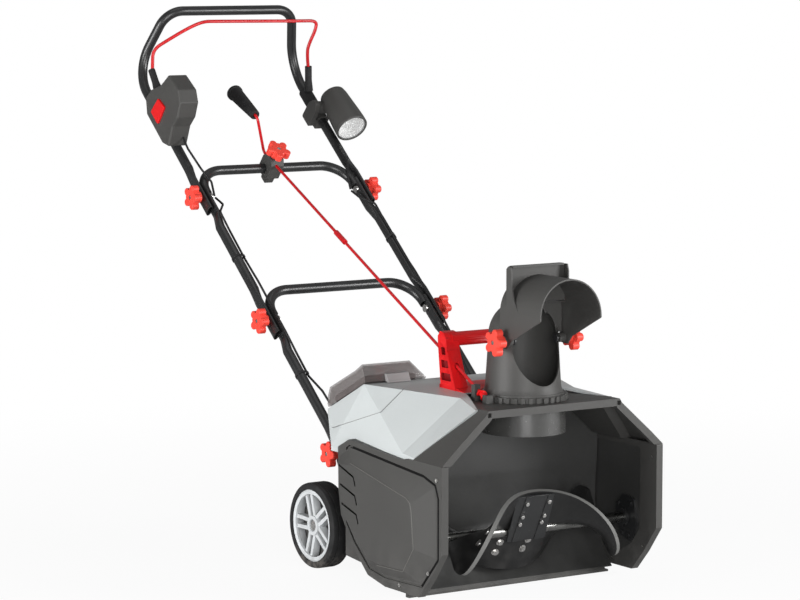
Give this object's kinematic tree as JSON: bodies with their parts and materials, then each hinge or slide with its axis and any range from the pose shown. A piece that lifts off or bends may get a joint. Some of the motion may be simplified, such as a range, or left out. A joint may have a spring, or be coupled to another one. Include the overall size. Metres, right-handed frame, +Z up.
{
  "type": "snow blower",
  "caption": "Single-stage cordless snow blower: box intake with auger, turning chute with deflector, folding tube handle with bail, work lamp, crank and battery bay.",
  "frame": {"origin": "ground level under the middle of the scraper bar, where the machine's front rests", "axes": "+X towards the operator's left, +Y back towards the operator, +Z up"},
  "size_m": [0.524, 1.2995, 1.0684],
  "materials": {
    "black_plastic": "fine moulded grain, satin",
    "grey_plastic": "smooth moulded, semi-gloss",
    "red_plastic": "smooth moulded, semi-gloss",
    "black_tube": "satin black powder coat",
    "red_metal": "gloss red powder coat",
    "steel": "zinc-plated",
    "dark_steel": "black enamel",
    "wheel_plastic": "light grey moulded",
    "tyre": "soft tread",
    "rubber": "matt rubber",
    "smoked_cover": "smoked clear plastic",
    "battery_plastic": "dark grained plastic",
    "lamp_glass": "clear",
    "reflector": "facetted, aluminised",
    "cable": "smooth sheath"
  },
  "bodies": {
    "base": {"hood": "black_plastic", "chute_collar": "black_plastic", "scoop": "black_plastic", "scraper_bar": "black_plastic", "side_cover_left": "black_plastic", "side_cover_right": "black_plastic", "housing_screws": "steel", "bearing_plates": "dark_steel", "motor": "dark_steel", "drive_belt": "rubber", "base_pan": "black_plastic", "shell_cover": "grey_plastic", "battery_tray": "black_plastic", "battery": "battery_plastic", "carry_handle": "red_plastic", "handle_ears": "dark_steel", "lower_frame": "black_tube", "middle_frame": "black_tube", "knob_bolts": "steel", "rod_bracket": "black_plastic", "lower_cables": "cable", "cable_ties": "rubber", "axle": "steel"},
    "auger": {"auger_shaft": "steel", "auger_blades": "black_plastic", "auger_paddles": "dark_steel", "paddle_bolts": "steel", "auger_pulley": "dark_steel"},
    "motor_spindle": {"motor_pulley": "steel"},
    "chute": {"chute": "black_plastic", "deflector_bolts": "steel"},
    "deflector": {"deflector": "black_plastic"},
    "crank": {"crank_rod": "red_metal", "crank_worm": "red_plastic"},
    "crank_grip": {"crank_grip": "rubber"},
    "upper_handle": {"upper_frame": "black_tube", "switch_box": "black_plastic", "bail_boots": "rubber", "lamp_clamp": "black_plastic", "upper_cables": "cable"},
    "switch_button": {"switch_button": "red_plastic"},
    "bail": {"bail": "red_metal"},
    "lamp": {"lamp_body": "black_plastic", "lamp_reflector": "reflector", "lamp_lens": "lamp_glass"},
    "battery_cover": {"battery_cover": "smoked_cover"},
    "cover_latch": {"cover_latch": "black_plastic"},
    "knob_bracket": {"knob_bracket": "red_plastic"},
    "knob_lower_right": {"knob_lower_right": "red_plastic"},
    "knob_middle_right": {"knob_middle_right": "red_plastic"},
    "knob_upper_right": {"knob_upper_right": "red_plastic"},
    "knob_deflector_right": {"knob_deflector_right": "red_plastic"},
    "wheel_right": {"wheel_rim_right": "wheel_plastic", "wheel_tyre_right": "tyre"},
    "knob_lower_left": {"knob_lower_left": "red_plastic"},
    "knob_middle_left": {"knob_middle_left": "red_plastic"},
    "knob_upper_left": {"knob_upper_left": "red_plastic"},
    "knob_deflector_left": {"knob_deflector_left": "red_plastic"},
    "wheel_left": {"wheel_rim_left": "wheel_plastic", "wheel_tyre_left": "tyre"}
  },
  "joints": [
    {"name": "auger_spin", "type": "hinge", "parent": "base", "child": "auger", "pos_m": [0, -0.04, 0.11], "axis": [1, 0, 0], "continuous": true},
    {"name": "motor_spin", "type": "hinge", "parent": "base", "child": "motor_spindle", "pos_m": [-0.2, 0.128, 0.168], "axis": [1, 0, 0], "continuous": true},
    {"name": "chute_turn", "type": "hinge", "parent": "base", "child": "chute", "pos_m": [0, -0.037, 0.36], "axis": [0, 0, 1], "range_deg": [-95, 95]},
    {"name": "crank_turn", "type": "hinge", "parent": "base", "child": "crank", "pos_m": [-0.0901, -0.037, 0.37], "axis": [0.0897, 0.9213, 0.3783], "range_deg": [-3450, 3450]},
    {"name": "crank_grip_spin", "type": "hinge", "parent": "crank", "child": "crank_grip", "pos_m": [-0.031, 0.8615, 0.825], "axis": [0.0897, 0.9213, 0.3783], "continuous": true},
    {"name": "deflector_tilt", "type": "hinge", "parent": "chute", "child": "deflector", "pos_m": [0, -0.073, 0.472], "axis": [1, 0, 0], "range_deg": [-15, 35]},
    {"name": "upper_handle_fold", "type": "hinge", "parent": "base", "child": "upper_handle", "pos_m": [0, 0.83132, 0.68292], "axis": [1, 0, 0], "range_deg": [0, 115]},
    {"name": "button_press", "type": "slide", "parent": "upper_handle", "child": "switch_button", "axis": [1, 0, 0], "range_m": [0, 0.004], "stiffness_N_per_m": 300, "springref_m": -0.002},
    {"name": "bail_squeeze", "type": "hinge", "parent": "upper_handle", "child": "bail", "pos_m": [-0.188, 1.056, 0.93], "axis": [-0.9991, 0.0427, 0], "range_deg": [0, 19], "stiffness_Nm_per_rad": 0.3, "springref_deg": -17.19},
    {"name": "lamp_tilt", "type": "hinge", "parent": "upper_handle", "child": "lamp", "pos_m": [0.17, 0.98316, 0.8492], "axis": [1, 0, 0], "range_deg": [-30, 0]},
    {"name": "battery_cover_open", "type": "hinge", "parent": "base", "child": "battery_cover", "pos_m": [-0.13, 0.33, 0.313], "axis": [-1, 0, 0], "range_deg": [0, 85]},
    {"name": "cover_latch_turn", "type": "hinge", "parent": "base", "child": "cover_latch", "pos_m": [-0.135, 0.1805, 0.3747], "axis": [1, 0, 0], "range_deg": [0, 35]},
    {"name": "bracket_knob_turn", "type": "hinge", "parent": "base", "child": "knob_bracket", "pos_m": [0, 0.86548, 0.75761], "axis": [0, -0.6455, 0.7638], "continuous": true},
    {"name": "knob_lower_right_turn", "type": "hinge", "parent": "base", "child": "knob_lower_right", "pos_m": [-0.21, 0.29924, 0.22542], "axis": [-1, 0, 0], "continuous": true},
    {"name": "knob_middle_right_turn", "type": "hinge", "parent": "base", "child": "knob_middle_right", "pos_m": [-0.21, 0.56254, 0.45578], "axis": [-1, 0, 0], "continuous": true},
    {"name": "knob_upper_right_turn", "type": "hinge", "parent": "base", "child": "knob_upper_right", "pos_m": [-0.21, 0.83132, 0.68292], "axis": [-1, 0, 0], "continuous": true},
    {"name": "knob_deflector_right_turn", "type": "hinge", "parent": "deflector", "child": "knob_deflector_right", "pos_m": [-0.08, -0.073, 0.472], "axis": [-1, 0, 0], "continuous": true},
    {"name": "wheel_right_roll", "type": "hinge", "parent": "base", "child": "wheel_right", "pos_m": [-0.221, 0.3269, 0.0832], "axis": [1, 0, 0], "continuous": true},
    {"name": "knob_lower_left_turn", "type": "hinge", "parent": "base", "child": "knob_lower_left", "pos_m": [0.21, 0.29924, 0.22542], "axis": [1, 0, 0], "continuous": true},
    {"name": "knob_middle_left_turn", "type": "hinge", "parent": "base", "child": "knob_middle_left", "pos_m": [0.21, 0.56254, 0.45578], "axis": [1, 0, 0], "continuous": true},
    {"name": "knob_upper_left_turn", "type": "hinge", "parent": "base", "child": "knob_upper_left", "pos_m": [0.21, 0.83132, 0.68292], "axis": [1, 0, 0], "continuous": true},
    {"name": "knob_deflector_left_turn", "type": "hinge", "parent": "deflector", "child": "knob_deflector_left", "pos_m": [0.08, -0.073, 0.472], "axis": [1, 0, 0], "continuous": true},
    {"name": "wheel_left_roll", "type": "hinge", "parent": "base", "child": "wheel_left", "pos_m": [0.221, 0.3269, 0.0832], "axis": [1, 0, 0], "continuous": true}
  ],
  "couplings": [
    {"joint": "crank_turn", "follows": "chute_turn", "ratio": -36},
    {"joint": "motor_spin", "follows": "auger_spin", "ratio": 2}
  ]
}
